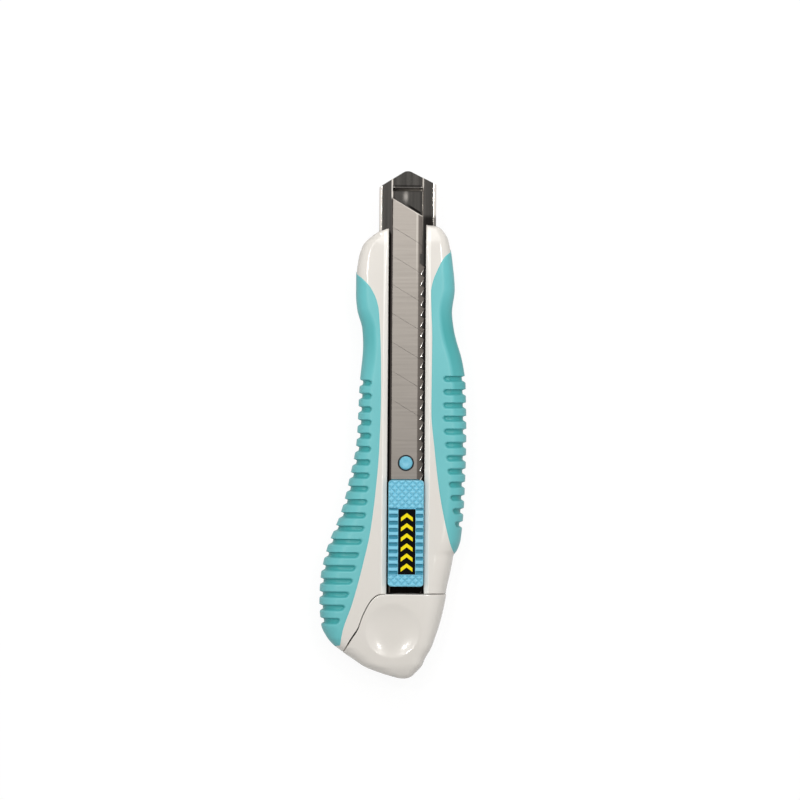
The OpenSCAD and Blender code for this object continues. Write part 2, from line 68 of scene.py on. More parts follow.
deselectAll()
bpy.ops.object.camera_add(location=(*stage["aim"], stage["lensDistance"] + stage["planeHeight"]))
camera = bpy.context.object
camera.rotation_euler = (0, 0, radians(stage["roll"]))
camera.data.sensor_width = stage["sensor"]
camera.data.lens = stage["sensor"] * stage["lensDistance"] / stage["widthSeen"]
camera.data.clip_end = stage["farthest"]
scene.camera = camera
scene.view_settings.view_transform = "Standard"
print("camera ready")


class Wire:
    # a socket that can be used in sums
    def __init__(self, shader, socket):
        self.shader = shader
        self.socket = socket

    def maths(self, operation, *values):
        return self.shader.node("ShaderNodeMath", {"operation": operation}, *values)

    def __add__(self, other):
        return self.maths("ADD", self, other)

    def __radd__(self, other):
        return self.maths("ADD", other, self)

    def __sub__(self, other):
        return self.maths("SUBTRACT", self, other)

    def __rsub__(self, other):
        return self.maths("SUBTRACT", other, self)

    def __mul__(self, other):
        return self.maths("MULTIPLY", self, other)

    def __truediv__(self, other):
        return self.maths("DIVIDE", self, other)

    def __abs__(self):
        return self.maths("ABSOLUTE", self)

    def larger(self, other):
        return self.maths("MAXIMUM", self, other)

    def between(self, low, high):
        # 0 at low and 1 at high, smooth in between
        smooth = {"interpolation_type": "SMOOTHSTEP"}
        return self.shader.node("ShaderNodeMapRange", smooth, self, low, high, 0.0, 1.0)

    def band(self, low, full, fading, high):
        # 1 from full to fading, and 0 below low and above high
        return self.between(low, full) * (1 - self.between(fading, high))


class Shader:
    # the nodes of a material or of the world
    def __init__(self, owner):
        owner.use_nodes = True
        self.owner = owner
        self.tree = owner.node_tree
        self.tree.nodes.clear()

    def fill(self, socket, value):
        if isinstance(value, Wire):
            self.tree.links.new(value.socket, socket)
        elif value is not None:
            socket.default_value = value

    def node(self, kind, settings, *inputs, out=0, **named):
        made = self.tree.nodes.new(kind)
        for name, value in settings.items():
            setattr(made, name, value)
        for key, value in enumerate(inputs):
            self.fill(made.inputs[key], value)
        for name, value in named.items():
            self.fill(made.inputs[name.replace("_", " ")], value)
        return Wire(self, made.outputs[out] if len(made.outputs) else None)

    def place(self):
        return self.node("ShaderNodeTexCoord", {}, out="Object")

    def split(self, vector):
        parts = self.node("ShaderNodeSeparateXYZ", {}, vector).socket.node.outputs
        return [Wire(self, part) for part in parts]

    def axes(self):
        # the place in millimetres
        return [part * 1000 for part in self.split(self.place())]

    def rays(self, *kinds):
        path = self.node("ShaderNodeLightPath", {}).socket.node.outputs
        return [Wire(self, path["Is " + kind + " Ray"]) for kind in kinds]

    def noise(self, scale, detail, stretch=(1, 1, 1)):
        where = self.node("ShaderNodeMapping", {}, self.place(), None, None, stretch)
        return self.node("ShaderNodeTexNoise", {}, Vector=where, Scale=scale, Detail=detail)

    def blend(self, factor, first, second):
        mixer = self.node("ShaderNodeMix", {"data_type": "RGBA"}, out=2)
        for key, value in ((0, factor), (6, first), (7, second)):
            self.fill(mixer.socket.node.inputs[key], value)
        return mixer

    def bump(self, height, strength, distance):
        return self.node("ShaderNodeBump", {}, Height=height, Strength=strength, Distance=distance)

    def surface(self, **values):
        body = self.node("ShaderNodeBsdfPrincipled", {}, **values)
        self.node("ShaderNodeOutputMaterial", {}, body)


def distance(x, y):
    return x.maths("SQRT", x * x + y * y)


def colour(red, green, blue):
    # a screen colour from 0 to 255, in the light values that Blender works in
    parts = [((c / 255 + 0.055) / 1.055) ** 2.4 if c > 10 else c / 3294.6 for c in (red, green, blue)]
    return (*parts, 1)


def shaded(tone, factor):
    return tuple(c * factor for c in tone[:3]) + (1,)


light = {
    "soft": (0.1, 0.63),  # for matt surfaces: from the horizon, and what straight above adds
    "above": 0.025,  # for shiny ones: the dark patch straight above,
    "ahead": 0.9,  # the room ahead of the point,
    "behind": 0.6,  # the room behind the cap
    "sides": 0.35,  # and what both sides add
    "aheadSpan": (-0.7, 0.6),
    "sideSpan": (0.25, 0.8),
    "horizon": (-0.1, 0),
    "patchSpan": (0.05, 0.6),  # the dark patch's core and rim
    "patchBack": 0.07,
    "worldTone": (1.0, 0.99, 0.975, 1),
    "lampTone": (1.0, 0.985, 0.96),
    "lampPower": 0.62,  # two small lamps that draw the streaks on the shoulders
    "lampSize": 0.07,
    "lampPlace": (0.2, 0.145, 0.7),
    "glintPower": 0.25,  # two smaller ones that the dish in the cap mirrors
    "glintSize": 0.034,
    "glintPlace": (0.193, -0.026, 0.7),
    "boxPower": 1.8,  # one wide soft box ahead
    "boxSize": 0.45,
    "boxPlace": (0.0, 0.45, 0.6),
}


def worldLight():
    world = bpy.data.worlds.new("studio")
    scene.world = world
    shade = Shader(world)
    x, y, z = shade.split(shade.node("ShaderNodeTexCoord", {}, out="Generated"))
    along = y.between(*light["aheadSpan"]) * (light["ahead"] - light["behind"]) + light["behind"]
    around = along + abs(x).between(*light["sideSpan"]) * light["sides"]
    far = distance(x, y + light["patchBack"]).between(*light["patchSpan"])
    bright = far.larger(1 - z.between(*light["horizon"]))
    mirrored = light["above"] + bright * (around - light["above"])
    low, high = light["soft"]
    soft = z * z * high + low
    seen, glossy = shade.rays("Camera", "Glossy")
    strength = soft + glossy * (mirrored - soft)
    glow = shade.node("ShaderNodeBackground", {}, light["worldTone"], strength * (1 - seen) + seen)
    shade.node("ShaderNodeOutputWorld", {}, glow)


def lamp(name, place, power, size):
    deselectAll()
    bpy.ops.object.light_add(type="AREA", location=place)
    made = bpy.context.object
    made.name = name
    made.data.energy = power
    made.data.shape = "SQUARE"
    made.data.size = size
    made.data.color = light["lampTone"]
    made.rotation_euler = Vector(place).to_track_quat("Z", "Y").to_euler()


def layFloor():
    deselectAll()
    bpy.ops.mesh.primitive_plane_add(size=stage["floorSize"], location=(0, 0, stage["floorZ"]))
    floor = bpy.context.object
    floor.name = "floor"
    shade = Shader(bpy.data.materials.new("paperWhite"))
    fromCamera, through = shade.rays("Camera", "Transmission")
    dull = shade.node("ShaderNodeBsdfDiffuse", {}, stage["floorTone"])
    glow = shade.node("ShaderNodeEmission", {}, (1, 1, 1, 1), stage["floorGlow"])
    seen = fromCamera.larger(through) * (1 - stage["shadowShare"])
    shade.node("ShaderNodeOutputMaterial", {}, shade.node("ShaderNodeMixShader", {}, seen, dull, glow))
    floor.data.materials.append(shade.owner)


worldLight()
for kind in ("lamp", "glint"):
    lampX, lampY, lampZ = light[kind + "Place"]
    for side, name in ((-1, "Left"), (1, "Right")):
        lamp(kind + name, (side * lampX, lampY, lampZ), light[kind + "Power"], light[kind + "Size"])
lamp("softBox", light["boxPlace"], light["boxPower"], light["boxSize"])
layFloor()
print("floor and lights ready")


# In every finish, grain and the like are a noise's scale, detail and stretch, relief is a bump's strength
# and depth, and the places are in millimetres.
def newFinish(name):
    return Shader(bpy.data.materials.new(name))


def mottled(shade, look, grain):
    # the tone, a little darker and paler from place to place
    darker, paler = look["range"]
    return shade.blend(grain, shaded(look["tone"], darker), shaded(look["tone"], paler))


def uneven(look, grain):
    # the roughness, up and down by half its spread
    return grain * look["spread"] + (look["roughness"] - look["spread"] / 2)


whiteGloss = {
    "tone": colour(232, 228, 222), "range": (0.985, 1.01), "grain": (60, 2),
    "roughness": 0.22, "spread": 0.06, "haze": (300, 2), "pores": (900, 2), "relief": (0.04, 0.0002),
    "coat": 0.6, "coatRoughness": 0.12, "ior": 1.5,
    # the chamfers along the slot get a painted highlight: a paler tone
    "edge": colour(250, 248, 243), "edgeX": 7.35, "edgeHalf": (0.75, 0.95), "edgeY": (-59.2, -58.8),
    "edgeZ": (16.5, 17.2),
}


def whitePlastic():
    look = whiteGloss
    shade = newFinish("whitePlastic")
    x, y, z = shade.axes()
    # painted highlight: the chamfers along the slot are blended to the paler edge tone
    beside = 1 - abs(abs(x) - look["edgeX"]).between(*look["edgeHalf"])
    edge = beside * z.between(*look["edgeZ"]) * y.between(*look["edgeY"])
    tone = shade.blend(edge, mottled(shade, look, shade.noise(*look["grain"])), look["edge"])
    shade.surface(Base_Color=tone, Roughness=uneven(look, shade.noise(*look["haze"])),
                  Normal=shade.bump(shade.noise(*look["pores"]), *look["relief"]),
                  Coat_Weight=look["coat"], Coat_Roughness=look["coatRoughness"], IOR=look["ior"])
    return shade.owner


# the groove tone is a painted shade, for the floors of the grooves and the finger hollow
softTeal = {
    "tone": colour(106, 195, 200), "range": (0.95, 1.04), "grain": (120, 3), "groove": colour(58, 164, 166),
    "roughness": 0.36, "spread": 0.12, "haze": (500, 3), "pores": (2600, 2), "relief": (0.12, 0.00012),
    "sheen": 0.05, "ior": 1.48,
}


def tealRubber():
    look = softTeal
    shade = newFinish("tealRubber")
    # painted shade: the groove attribute darkens the grooves and the finger hollow to the groove tone
    groove = shade.node("ShaderNodeAttribute", {"attribute_name": "groove"}, out="Fac")
    tone = shade.blend(groove, mottled(shade, look, shade.noise(*look["grain"])), look["groove"])
    shade.surface(Base_Color=tone, Roughness=uneven(look, shade.noise(*look["haze"])),
                  Normal=shade.bump(shade.noise(*look["pores"]), *look["relief"]),
                  IOR=look["ior"], Sheen_Weight=look["sheen"])
    return shade.owner


skyBlue = {
    "tone": colour(130, 209, 236), "range": (0.96, 1.03), "grain": (200, 2),
    "roughness": 0.32, "pores": (3000, 2), "relief": (0.08, 0.0001), "ior": 1.5,
    # painted shade: the groove tone darkens the grooves of the knurl and ribs and everything below the face
    "groove": colour(44, 140, 166), "grooveZ": (19.75, 20.4),
    # ahead of the slider lie the stud, which is a little darker, and the tongue in the blade's shadow
    "aheadY": (-19.3, -19.0), "stud": 0.3, "shadow": colour(14, 34, 44), "bladeZ": (14.8, 15.1),
}


def bluePlastic():
    look = skyBlue
    shade = newFinish("bluePlastic")
    x, y, z = shade.axes()
    ahead = y.between(*look["aheadY"])
    # painted shade below the face's top; the stud ahead is blended a little towards the groove tone
    groove = (1 - z.between(*look["grooveZ"])) * (1 - ahead) + ahead * look["stud"]
    tone = shade.blend(groove, mottled(shade, look, shade.noise(*look["grain"])), look["groove"])
    tone = shade.blend((1 - z.between(*look["bladeZ"])) * ahead, tone, look["shadow"])
    shade.surface(Base_Color=tone, Roughness=look["roughness"], IOR=look["ior"],
                  Normal=shade.bump(shade.noise(*look["pores"]), *look["relief"]))
    return shade.owner


bladeFront = {"slant": 0.611, "start": 76.05}  # the blade's slanted front edge


def aheadOfBlade(x, y):
    # how far ahead of the front edge, measured along the knife
    return x * bladeFront["slant"] + y - bladeFront["start"]


steelDark = {
    "tone": colour(226, 221, 215), "range": (0.88, 1.06), "lines": (900, 3, (1, 0.02, 1)),
    "roughness": 0.12, "spread": 0.06, "relief": (0.05, 0.0001),
    "shadow": colour(30, 20, 18), "deep": 0.94,
    # painted shade where the steel lies deep: along the left lip, which shows further ahead beside the blade,
    "leftX": (-4.6, -4.3), "slotY": (66, 68), "innerX": (-5.9, -5.5), "innerY": (78, 79.5),
    # along the right lip, and behind the slider,
    "rightX": (5.4, 5.8), "rightY": (71.5, 73.5), "right": 0.8, "rearY": (-56.8, -56),
    # and in the nose: at the fold and under the blade's front edge
    "noseX": (4.4, 4.6), "foldY": (81, 81.4, 83.2, 83.4), "fold": 0.7,
    "underAhead": (0, 0.1, 0.5, 0.9), "underX": (-1, 1.5),
    # but not on the underside, which rises with the fold
    "undersideY": (81.2, 83.2), "undersideRise": 1.8, "undersideZ": (11.85, 12.05),
    # a dull smudge on the nose's floor and a duller slope ahead of it
    "smudge": 0.09, "smudgeAt": (-0.7, 79.4), "smudgeSize": (1.5, 3.2), "smudgeRim": (0.1, 1.0),
    "slopeY": (81.2, 81.6, 82.4, 82.8), "slope": 2.5,
}


def darkSteel():
    look = steelDark
    shade = newFinish("sleeveSteel")
    lines = shade.noise(*look["lines"])
    x, y, z = shade.axes()
    inner = x.between(*look["innerX"]) * (1 - y.between(*look["innerY"]))
    left = (1 - x.between(*look["leftX"])) * (1 - y.between(*look["slotY"])).larger(inner)
    right = x.between(*look["rightX"]) * (1 - y.between(*look["rightY"])) * look["right"]
    rear = 1 - y.between(*look["rearY"])
    inNose = 1 - abs(x).between(*look["noseX"])
    fold = y.band(*look["foldY"]) * inNose * look["fold"]
    under = aheadOfBlade(x, y).band(*look["underAhead"]) * x.between(*look["underX"]) * inNose
    above = (z - y.between(*look["undersideY"]) * look["undersideRise"]).between(*look["undersideZ"])
    # painted shade along the lips, behind the slider, at the fold and under the blade's front edge, kept off
    # the underside
    deep = (left + right).larger(rear).larger(fold).larger(under) * above
    tone = shade.blend(deep * look["deep"], mottled(shade, look, lines), look["shadow"])
    offX, offY = [(way - at) / size for way, at, size in zip((x, y), look["smudgeAt"], look["smudgeSize"])]
    slope = y.band(*look["slopeY"]) * inNose * look["slope"]
    dull = 1 - distance(offX, offY).between(*look["smudgeRim"]) + slope
    shade.surface(Base_Color=tone, Metallic=1.0, Roughness=uneven(look, lines) + dull * look["smudge"],
                  Normal=shade.bump(lines, *look["relief"]))
    return shade.owner


steelBlade = {
    "tone": colour(160, 154, 148), "range": (0.92, 1.05), "lines": (1500, 3, (0.03, 1, 1)),
    "roughness": 0.34, "spread": 0.08, "relief": (0.06, 0.0001),
    # painted shade: darker towards the stud, by this much for each millimetre, and along the back edge where
    # the ratchet's teeth shade it at rest
    "fadeY": 67.7, "fade": 0.0021, "black": colour(0, 0, 0),
    "back": colour(72, 66, 62), "backX": (3.6, 4.1), "dull": 0.78,
    # paler along the front edge, and in a line where the back edge starts
    "ground": colour(202, 197, 190), "groundAhead": (-0.7, -0.4),
    "startX": 3.3, "startHalf": (0.1, 0.3), "startY": (46, 64), "start": 0.55,
}


def bladeSteel():
    look = steelBlade
    shade = newFinish("bladeSteel")
    lines = shade.noise(*look["lines"])
    x, y, z = shade.axes()
    # painted shade towards the stud, and along the back edge
    tone = shade.blend((look["fadeY"] - y) * look["fade"], mottled(shade, look, lines), look["black"])
    tone = shade.blend(x.between(*look["backX"]) * look["dull"], tone, look["back"])
    start = 1 - abs(x - look["startX"]).between(*look["startHalf"])
    start = start * y.between(*look["startY"]) * look["start"]
    ground = aheadOfBlade(x, y).between(*look["groundAhead"]).larger(start)
    tone = shade.blend(ground, tone, look["ground"])
    shade.surface(Base_Color=tone, Metallic=1.0, Roughness=uneven(look, lines),
                  Normal=shade.bump(lines, *look["relief"]))
    return shade.owner


steelZinc = {"dark": colour(150, 150, 152), "pale": colour(190, 190, 190), "speckle": (1800, 3),
             "roughness": 0.3, "spread": 0.12}


def plainSteel():
    look = steelZinc
    shade = newFinish("zincSteel")
    speckle = shade.noise(*look["speckle"])
    shade.surface(Base_Color=shade.blend(speckle, look["dark"], look["pale"]), Metallic=1.0,
                  Roughness=uneven(look, speckle))
    return shade.owner


printed = {
    "dark": colour(2, 2, 4), "pale": colour(5, 5, 7), "grain": (1500, 2),
    "roughness": 0.45, "spread": 0.1, "relief": (0.05, 0.0001), "specular": 0.05,
    # rows of plain yellow chevrons that point to the blade
    "ink": colour(250, 228, 24), "rows": 6, "pitch": 3.5, "firstY": -48.9, "middleX": 0.5,
    "halfWidth": 2.05, "stroke": 0.68, "slope": 0.75, "soft": 0.04, "endSoft": 0.02,
}


def blackPlastic():
    look = printed
    shade = newFinish("blackInlay")
    grain = shade.noise(*look["grain"])
    x, y, z = shade.axes()
    side = abs(x - look["middleX"])
    climb = y - look["firstY"] + side * look["slope"]
    half, soft, endSoft = look["pitch"] / 2, look["soft"], look["endSoft"]
    last = look["pitch"] * (look["rows"] - 0.5)
    near = abs(climb.maths("WRAP", climb, -half, half))
    stroke = 1 - near.between(look["stroke"] - soft, look["stroke"] + soft)
    inside = 1 - side.between(look["halfWidth"] - soft, look["halfWidth"] + soft)
    ink = stroke * inside * climb.band(-half, -half + endSoft, last - endSoft, last)
    ground = shade.blend(grain, look["dark"], look["pale"])
    shade.surface(Base_Color=shade.blend(ink, ground, look["ink"]), Roughness=uneven(look, grain),
                  Normal=shade.bump(grain, *look["relief"]), Specular_IOR_Level=look["specular"])
    return shade.owner


finish = {
    "white_plastic": whitePlastic(),
    "teal_rubber": tealRubber(),
    "blue_plastic": bluePlastic(),
    "dark_steel": darkSteel(),
    "blade_steel": bladeSteel(),
    "spring_steel": plainSteel(),
    "black_plastic": blackPlastic(),
}
finish["screw_steel"] = finish["spring_steel"]
slotOf = {part["node"]: part["material_slot"] for part in frame["record"]["subparts"]}
for name, node in nodes.items():
    node.data.materials.clear()
    node.data.materials.append(finish[slotOf[name]])
print("finishes ready")


class Curve:
    # a smooth curve through knots that never overshoots them
    def __init__(self, knots):
        self.x, self.y = np.array(knots, float).T
        rise = np.diff(self.y) / np.diff(self.x)
        before, after = rise[:-1], rise[1:]
        turns = before * after <= 0
        middle = np.where(turns, 0, 2 * before * after / np.where(turns, 1, before + after))
        self.slope = np.concatenate([rise[:1], middle, rise[-1:]])

    def __call__(self, p):
        p = np.asarray(p, float)
        i = np.clip(np.searchsorted(self.x, p) - 1, 0, len(self.x) - 2)
        h = self.x[i + 1] - self.x[i]
        t = np.clip((p - self.x[i]) / h, 0, 1)
        inner = (self.y[i] * (2 * t ** 3 - 3 * t ** 2 + 1) + self.y[i + 1] * (3 * t ** 2 - 2 * t ** 3)
                 + h * (self.slope[i] * (t ** 3 - 2 * t ** 2 + t) + self.slope[i + 1] * (t ** 3 - t ** 2)))
        beyond = np.minimum(p - self.x[0], 0) * self.slope[0] + np.maximum(p - self.x[-1], 0) * self.slope[-1]
        return inner + beyond


# Every measure from here on is in millimetres. A curve's knots are [place along the knife, value].
handle = {
    "partZ": 9.8,  # where the two casings meet
    "leftEdge": Curve([
        [-88.6, 1.2], [-87.9, 3.8], [-86.8, 7.5], [-84.6, 13.4], [-82, 17.4], [-79.5, 21.2], [-77.5, 23.9],
        [-74.5, 26.7], [-70, 28.9], [-61, 29.6], [-54, 29.3], [-44.5, 27.4], [-30, 22.1], [-19.4, 19.5],
        [-5.5, 17], [14, 16.1], [27.6, 15], [33, 15.3], [39.8, 17.1], [45, 17.6], [52, 17.6], [58, 16.9],
        [62, 15.6], [64.2, 14.1], [66.3, 11.7], [69.6, 10.6]]),
    "rightEdge": Curve([
        [-88.6, 0.5], [-87.9, 2.1], [-85.8, 4.3], [-84, 5.9], [-81.6, 6.9], [-77.5, 9.2], [-74.2, 10.4],
        [-70, 11.8], [-65, 13.1], [-61, 13.9], [-57, 14.5], [-53, 15.4], [-48, 16.4], [-45.3, 16.9],
        [-43.5, 18], [-40, 19.1], [-25.5, 20.3], [-5, 20.8], [14, 20.4], [20.5, 19.5], [24, 18.7],
        [29.2, 17.1], [33.6, 16.1], [39.2, 15.5], [47, 16.4], [56, 15.6], [64.3, 14.2], [66.4, 13.1],
        [69.6, 10.5]]),
    "frontFace": Curve([[-88.6, 13.4], [-87, 15.4], [-83, 17.3], [-72, 18.7], [-59, 19], [10, 19],
                        [50, 18.4], [62, 17.8], [67, 17], [69.6, 16.2]]),
    # the flat back lies in by as much as the grips and the cap stand proud of it
    "backFace": Curve([[-88.6, 5.4], [-87, 3.2], [-83, 1.2], [-74, 0.2], [48, 0.2], [55, 0.6], [63, 1.8],
                       [67, 2.8], [69.6, 3.8]]),
    "edgeRound": Curve([[-88.6, 1], [-85, 3.2], [-78, 4.4], [-66, 6.4], [-40, 6.6], [0, 4.8], [45, 4.4],
                        [62, 3.4], [69.6, 1.2]]),
    "roundDepth": 1.1,  # how deep an edge rounding is for its width
    "widestRound": 0.7,  # of the half width
    "leastWall": 0.8,  # straight wall between a rounding and the parting plane
    "wallStep": 0.1,  # how far the skin steps in at the parting plane
    "crown": 0.3,  # how much the front face domes,
    "crownSpan": (-89, 69.6),  # between the ends of the knife,
    "crownFade": (14, 12),  # fading out over these lengths
    # the side's hollows for the fingers: where, how steep the crease is in degrees, and the back's share
    "hollows": {-1: (Curve([[14, 0], [24, 0.55], [31, 1], [40, 0]]), 34),
                1: (Curve([[-3, 0], [18, 0.8], [31, 1], [47, 0]]), 46)},
    "backHollow": 0.6,
}
# the step over which the outline's lean is measured, shorter near both ends
leanStep = {"least": 0.2, "more": 2.4, "span": (-75, 60), "fade": 10}
seam = {
    "line": Curve([[-24, -83.2], [-18.2, -73.7], [-16.4, -71], [-14.4, -65.7], [-11.3, -60.6],
                   [-9.2, -59.2], [-6.8, -58.9]]),
    "straight": -58.8, "straightFrom": -6.8,
    "narrow": 0.2, "wide": 0.8, "widensFrom": -9, "widensOver": 8,
}
nose = {"start": 68.1, "lean": 0.1, "shoulder": 9, "rise": 0.3, "riseOver": 2.6, "fall": 0.09}
# a grip's shade is the strength of the painted shade in its finger hollow
palmGrip = {
    "side": -1, "ends": (-78, 53.2), "firstRib": -72.1, "grooves": 19, "shade": 0.4,
    "margin": Curve([[-78, 2.0], [-40, 2.2], [16, 3.2], [30, 3.2]]),
    "edge": Curve([
        [-77.9, 22.6], [-72.3, 21.7], [-62.2, 18.3], [-49, 14.8], [-36.8, 12.2], [-22.9, 10.5], [-9, 9.4],
        [8.5, 8.9], [22.4, 9], [39.1, 9.8], [42.6, 10.5], [47.4, 12.7], [50, 15], [52.4, 17.9]]),
}
fingerGrip = {
    "side": 1, "ends": (-45.3, 61.2), "firstRib": -38.25, "grooves": 12, "shade": 0.75,
    "margin": Curve([[-45, 3.1], [-20, 3.6], [16, 4.1], [30, 4.1]]),
    "edge": Curve([[-45, 17.2], [-41.8, 15.8], [-32.5, 13.5], [-22.7, 11.7], [-9.5, 10.1], [5, 8.8],
                   [29.5, 8.9], [46.2, 8.4], [50, 9.1], [53.1, 10.3], [58, 12.8], [60.4, 15.4]]),
}
gripOf = {-1: palmGrip, 1: fingerGrip}
skin = {
    "thick": 2.2, "proud": 0.2, "start": 0.04,  # the rim starts just below the casing
    "border": 0.15,  # how far the border lies inside the grip's edge curve
    "tipU": 2.97, "tipLength": 0.6, "fadeU": 0.6, "thinnest": 0.08,  # how the ends run out
    "tips": (0.03, 0.1, 0.2, 0.3, 0.42, 0.55, 0.7, 0.85, 1.0), "step": 0.22, "stepFrom": 1.2,
    "rim": (0, 0.06, 0.14, 0.24, 0.36, 0.5, 0.68, 0.9), "rimWidth": 0.75, "rimFull": 2.0,
    "across": 44, "under": 10, "traced": 240,
    # each groove's flank is steep on the side that faces the cap
    "ribPitch": 4.605, "ribCrest": 2.35, "grooveDepth": 1.15, "grooveSoft": 0.15, "flanks": (1.0, 0.55),
    "clear": 0.12, "tuckU": 0.05, "inside": 0.7,  # how the casing sinks below the skin
    # how soon the finger hollow's painted shade comes in past the rounding's start
    "shadeU": 0.15,
}
weld = 2e-6  # metres


def mix(a, b, t):
    return a + (b - a) * t


def ease(t):
    t = np.clip(t, 0, 1)
    return t * t * (3 - 2 * t)


def reach(side, y):
    return handle["leftEdge" if side < 0 else "rightEdge"](y)


def edgeWidth(side, y):
    (start, end), fade = leanStep["span"], leanStep["fade"]
    more = leanStep["more"] * np.clip((y - start) / fade, 0, 1) * np.clip((end - y) / fade, 0, 1)
    step = leanStep["least"] + more
    lean = (reach(side, y + step) - reach(side, y - step)) / (2 * step)
    return np.minimum(handle["edgeRound"](y) * np.sqrt(1 + lean ** 2), handle["widestRound"] * reach(side, y))


def crownAt(face, y):
    # how much the front face domes there; the back is flat
    (start, end), (behind, ahead) = handle["crownSpan"], handle["crownFade"]
    if face < 0:
        return 0 * y
    return handle["crown"] * np.clip((end - y) / ahead, 0, 1) * np.clip((y - start) / behind, 0, 1) ** 2


def creaseAt(side, y):
    # the angle of the crease that the finger hollow makes
    where, steep = handle["hollows"][side]
    return radians(steep) * np.clip(where(y), 0, 1)


def skinPoint(side, face, y, u, depth):
    # u is 0 on the centre line, 1 where the flat face ends, 2 below the rounding, 3 at the parting plane
    y, u, depth = np.broadcast_arrays(np.asarray(y, float), u, depth)
    a, rx = reach(side, y), edgeWidth(side, y)
    level = handle["frontFace" if face > 0 else "backFace"](y)
    crown = crownAt(face, y)
    height = np.abs(level - handle["partZ"]) - handle["leastWall"]
    rz = np.minimum(handle["roundDepth"] * handle["edgeRound"](y), height) - crown
    flat = a - rx
    crease = creaseAt(side, y) * (1 if face > 0 else handle["backHollow"])
    start = np.clip(2 * crown / flat * rx / rz, 0, 0.3) + crease
    angle = start + (pi / 2 - start) * np.clip(u - 1, 0, 1)
    lean = np.arctan2(rz * np.sin(angle), rx * np.cos(angle))
    v = np.clip(u, 0, 1)
    out = flat + rx * (np.sin(angle) - np.sin(start)) / (1 - np.sin(start)) - depth * np.sin(lean)
    down = crown + rz * (1 - np.cos(angle) / np.cos(start)) + depth * np.cos(lean)
    x = np.where(u <= 1, flat * v, out)
    z = level - face * np.where(u <= 1, crown * v ** 2 + depth, down)
    wall = u > 2
    x = np.where(wall, a - depth, x)
    z = np.where(wall, mix(level - face * (rz + crown), handle["partZ"], u - 2), z)
    return np.stack([side * x, y, np.maximum(z, 0)], axis=-1)


def skinU(side, y, x):
    a, rx = reach(side, y), edgeWidth(side, y)
    flat = a - rx
    start = np.sin(creaseAt(side, y))
    rise = start + np.clip((x - flat) / rx, 0, 1) * (1 - start)
    first = np.arcsin(start)
    return np.where(x <= flat, x / flat, 1 + (np.arcsin(rise) - first) / (pi / 2 - first))


def gripU(side, y):
    # where the grip's inner border lies
    grip, tip = gripOf[side], skin["tipU"]
    near = np.minimum(grip["ends"][1] - y, y - grip["ends"][0])
    border = skinU(side, y, grip["edge"](y) - skin["border"])
    u = np.minimum(tip, np.maximum(border, tip - near / skin["tipLength"]))
    return np.where(near > 0, u, tip)


def gripFade(side, y):
    return np.clip((skin["tipU"] - gripU(side, y)) / skin["fadeU"], skin["thinnest"], 1)


def seamLine(x):
    return np.where(x > seam["straightFrom"], seam["straight"], np.minimum(seam["line"](x), seam["straight"]))


def seamGap(x):
    return mix(seam["narrow"], seam["wide"], np.clip((seam["widensFrom"] - x) / seam["widensOver"], 0, 1))


def noseLine(x):
    # leans, rises towards the slot and falls back round the shoulders
    out = np.abs(x) - nose["shoulder"]
    rise = nose["rise"] * np.clip(-out, 0, nose["riseOver"])
    return nose["start"] + nose["lean"] * x + rise - nose["fall"] * np.maximum(out, 0) ** 2


def along(base, share, target, place):
    # the station of each point, moved by its share from a base towards a slanting or curved end
    low, high = np.full(np.shape(base * share), -95.0), np.full(np.shape(base * share), 75.0)
    for _ in range(34):
        middle = (low + high) / 2
        above = middle > base + share * (target(place(middle)) - base)
        high, low = np.where(above, middle, high), np.where(above, low, middle)
    return (low + high) / 2


def makeActive(piece):
    deselectAll()
    piece.select_set(True)
    bpy.context.view_layer.objects.active = piece


def addGrid(name, columns, rows):
    # a flat grid, with the column and the row of each of its points
    deselectAll()
    bpy.ops.mesh.primitive_grid_add(x_subdivisions=columns, y_subdivisions=rows, size=2)
    piece = bpy.context.object
    piece.name = name
    flat = np.empty(len(piece.data.vertices) * 3)
    piece.data.vertices.foreach_get("co", flat)
    flat = (flat.reshape(-1, 3) + 1) / 2
    return piece, np.rint(flat[:, 0] * columns).astype(int), np.rint(flat[:, 1] * rows).astype(int)


def rolledSkin(name, rings, sharp=40, groove=None):
    # a skin through rings of points: a grid is shaped, rolled up and closed at both ends
    piece, column, row = addGrid(name, rings.shape[1], rings.shape[0] - 1)
    column = column % rings.shape[1]
    mesh = piece.data
    mesh.vertices.foreach_set("co", (rings[row, column] * mm).ravel())
    # the groove attribute carries painted shade for the teal finish
    if groove is not None:
        mesh.attributes.new("groove", "FLOAT", "POINT").data.foreach_set("value", groove[row, column])
    mesh.update()
    bpy.ops.object.mode_set(mode="EDIT")
    bpy.ops.mesh.select_all(action="SELECT")
    bpy.ops.mesh.remove_doubles(threshold=weld)
    bpy.ops.mesh.fill_holes(sides=0)
    bpy.ops.mesh.select_all(action="SELECT")
    bpy.ops.mesh.normals_make_consistent(inside=False)
    bpy.ops.object.mode_set(mode="OBJECT")
    bpy.ops.object.shade_smooth_by_angle(angle=radians(sharp))
    return piece


def settle(piece, body, slot, node):
    # gives a finished piece its body and its finish, and hides the solid that it stands for
    piece.data.materials.clear()
    piece.data.materials.append(finish[slot])
    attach(piece, body)
    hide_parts(node)


